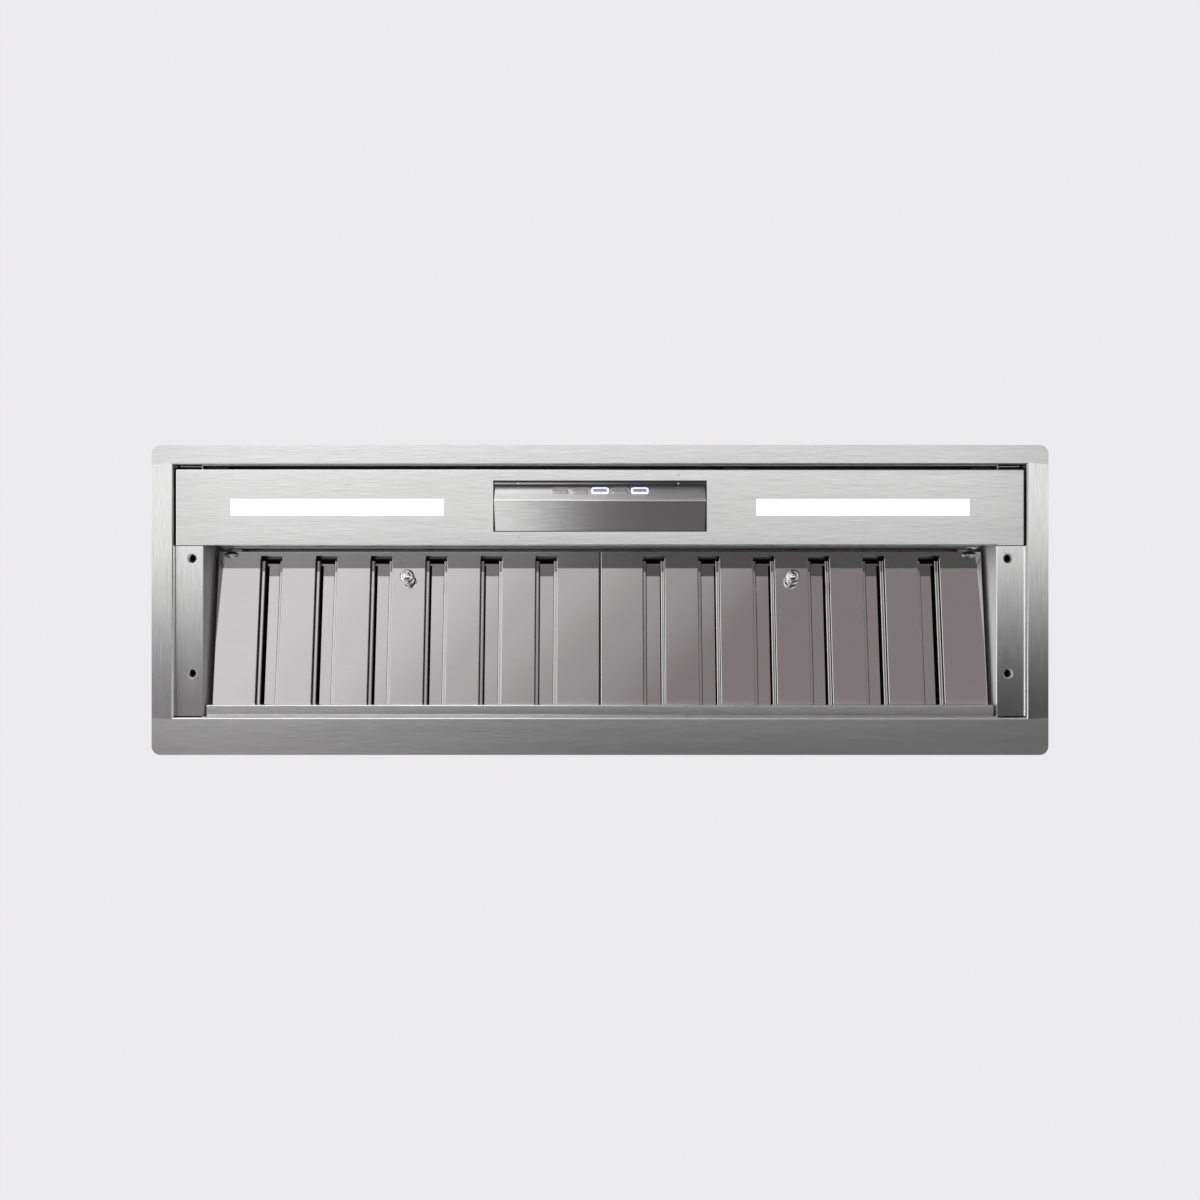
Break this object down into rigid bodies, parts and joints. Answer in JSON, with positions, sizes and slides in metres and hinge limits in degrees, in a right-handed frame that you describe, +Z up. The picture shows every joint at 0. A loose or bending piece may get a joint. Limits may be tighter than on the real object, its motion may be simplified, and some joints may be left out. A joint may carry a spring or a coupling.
{
  "type": "range hood insert",
  "caption": "Built-in range hood insert: brushed flange, lit control panel, hinged baffle filters, grease gutter, fan with duct collar and backdraft damper.",
  "frame": {"origin": "middle of the four fixing holes, at the top of their dimples", "axes": "+X along the insert, -Y to the front where the controls are, +Z up into the cabinet"},
  "size_m": [0.868, 0.3, 0.3652],
  "materials": {
    "brushed_steel": "fine brushed stainless steel",
    "polished_steel": "mirror-polished stainless steel",
    "filter_steel": "bright rolled stainless steel",
    "galvanised_steel": "galvanised sheet",
    "spring_steel": "spring steel",
    "chrome": "polished chrome",
    "zinc_fastener": "zinc plated",
    "opal_diffuser": "opal, lit from behind",
    "button_face": "satin metal cap",
    "button_ring": "translucent light ring",
    "circuit_board": "green solder mask",
    "motor_casting": "cast",
    "black_plastic": "moulded",
    "capacitor_sleeve": "plastic sleeve",
    "cable_jacket": "cable jacket"
  },
  "bodies": {
    "insert_body": {"blower_box": "galvanised_steel", "blower_screws": "zinc_fastener", "button_rings": "button_ring", "cable_gland": "black_plastic", "capacitor": "capacitor_sleeve", "catch_clips": "spring_steel", "catch_rail": "galvanised_steel", "control_board": "circuit_board", "control_box": "black_plastic", "control_box_cover": "black_plastic", "control_housing": "brushed_steel", "damper_axles": "zinc_fastener", "divider_wall": "galvanised_steel", "duct_collar": "galvanised_steel", "flange_frame": "brushed_steel", "grease_gutter": "brushed_steel", "housing_shell": "galvanised_steel", "led_board_left": "circuit_board", "led_board_right": "circuit_board", "led_diffuser_left": "opal_diffuser", "led_diffuser_right": "opal_diffuser", "led_tray_left": "galvanised_steel", "led_tray_right": "galvanised_steel", "light_cable": "cable_jacket", "light_leads": "cable_jacket", "light_panel": "brushed_steel", "motor_body": "motor_casting", "motor_bracket": "galvanised_steel", "motor_cable": "cable_jacket", "motor_screws": "zinc_fastener", "outlet_duct": "galvanised_steel", "panel_brackets": "galvanised_steel", "panel_nuts": "zinc_fastener", "scroll_shell_left": "galvanised_steel", "scroll_shell_right": "galvanised_steel", "side_channel_left": "brushed_steel", "side_channel_right": "brushed_steel", "terminal_block": "black_plastic"},
    "filter_left": {"filter_baffles_left": "filter_steel", "filter_catch_left": "chrome", "filter_face_left": "polished_steel", "filter_frame_left": "filter_steel", "filter_knob_left": "chrome", "knob_nut_left": "zinc_fastener"},
    "filter_right": {"filter_baffles_right": "filter_steel", "filter_catch_right": "chrome", "filter_face_right": "polished_steel", "filter_frame_right": "filter_steel", "filter_knob_right": "chrome", "knob_nut_right": "zinc_fastener"},
    "damper_front": {"damper_flap_front": "galvanised_steel"},
    "damper_rear": {"damper_flap_rear": "galvanised_steel"},
    "rotor": {"rotor_shaft": "zinc_fastener", "impeller_left": "galvanised_steel", "impeller_right": "galvanised_steel"},
    "button_1_cap": {"button_1": "button_face"},
    "button_2_cap": {"button_2": "button_face"},
    "button_3_cap": {"button_3": "button_face"},
    "button_4_cap": {"button_4": "button_face"},
    "button_5_cap": {"button_5": "button_face"}
  },
  "joints": [
    {"name": "button_1_press", "type": "slide", "parent": "insert_body", "child": "button_1_cap", "axis": [0, 0.856, 0.517], "range_m": [0, 0.0015], "stiffness_N_per_m": 200, "springref_m": -0.001},
    {"name": "button_2_press", "type": "slide", "parent": "insert_body", "child": "button_2_cap", "axis": [0, 0.856, 0.517], "range_m": [0, 0.0015], "stiffness_N_per_m": 200, "springref_m": -0.001},
    {"name": "button_3_press", "type": "slide", "parent": "insert_body", "child": "button_3_cap", "axis": [0, 0.856, 0.517], "range_m": [0, 0.0015], "stiffness_N_per_m": 200, "springref_m": -0.001},
    {"name": "button_4_press", "type": "slide", "parent": "insert_body", "child": "button_4_cap", "axis": [0, 0.856, 0.517], "range_m": [0, 0.0015], "stiffness_N_per_m": 200, "springref_m": -0.001},
    {"name": "button_5_press", "type": "slide", "parent": "insert_body", "child": "button_5_cap", "axis": [0, 0.856, 0.517], "range_m": [0, 0.0015], "stiffness_N_per_m": 200, "springref_m": -0.001},
    {"name": "filter_left_swing", "type": "hinge", "parent": "insert_body", "child": "filter_left", "pos_m": [0, 0.0859, 0.0096], "axis": [1, 0, 0], "range_deg": [0, 70]},
    {"name": "filter_right_swing", "type": "hinge", "parent": "insert_body", "child": "filter_right", "pos_m": [0, 0.0859, 0.0096], "axis": [1, 0, 0], "range_deg": [0, 70]},
    {"name": "damper_front_lift", "type": "hinge", "parent": "insert_body", "child": "damper_front", "pos_m": [0, -0.02815, 0.3], "axis": [-1, 0, 0], "range_deg": [0, 75]},
    {"name": "damper_rear_lift", "type": "hinge", "parent": "insert_body", "child": "damper_rear", "pos_m": [0, -0.02015, 0.3], "axis": [1, 0, 0], "range_deg": [0, 75]},
    {"name": "fan_spin", "type": "hinge", "parent": "insert_body", "child": "rotor", "pos_m": [0, -0.05419, 0.18398], "axis": [1, 0, 0], "continuous": true}
  ]
}
